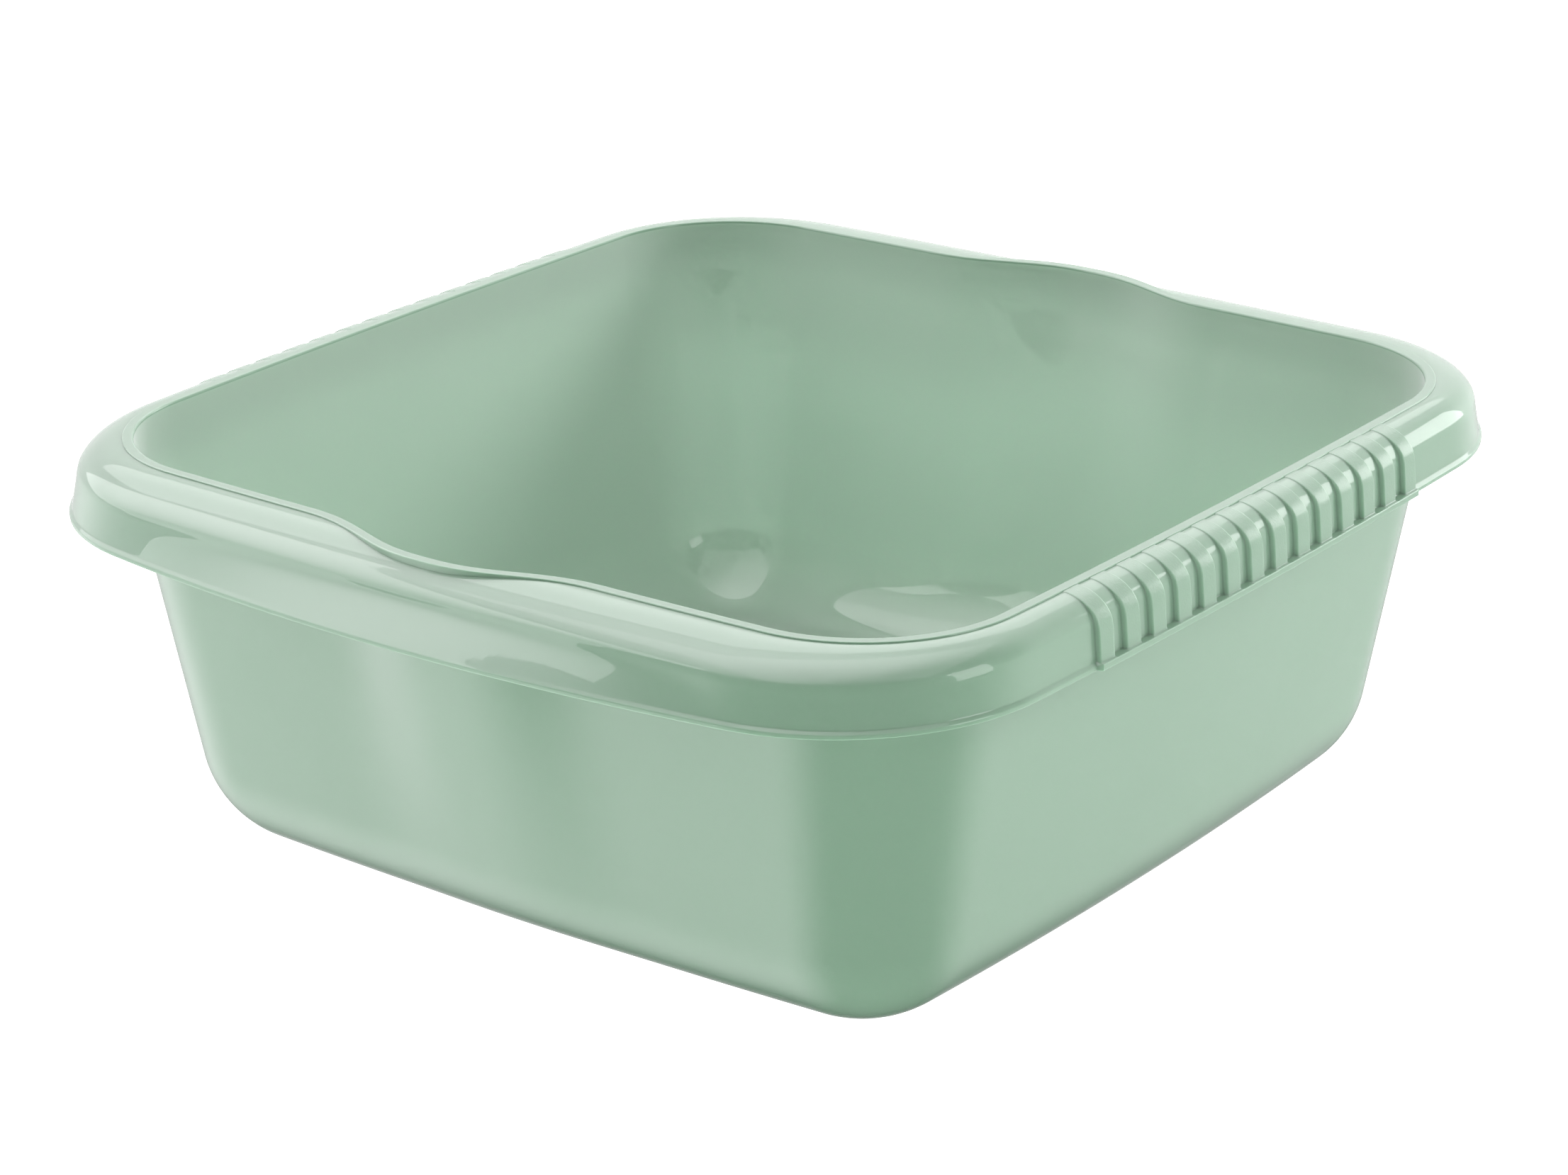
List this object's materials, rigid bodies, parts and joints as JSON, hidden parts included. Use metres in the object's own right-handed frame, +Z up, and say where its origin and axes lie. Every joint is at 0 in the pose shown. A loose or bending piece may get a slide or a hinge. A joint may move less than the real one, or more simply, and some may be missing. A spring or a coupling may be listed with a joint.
{
  "type": "square basin",
  "caption": "Square plastic washing-up basin with tapered walls and a rolled rim, which swings out into finger scoops and carries ribbed grips.",
  "frame": {"origin": "centre of the flat base, on the surface that the basin stands on", "axes": "+Z up, X across the ribbed grips, Y across the finger scoops"},
  "size_m": [0.3372, 0.3656, 0.13],
  "materials": {
    "basin_plastic": "glossy sage-green polypropylene, lightly frosted on the ribs of the grips"
  },
  "bodies": {
    "root": {"basin": "basin_plastic"}
  },
  "joints": []
}
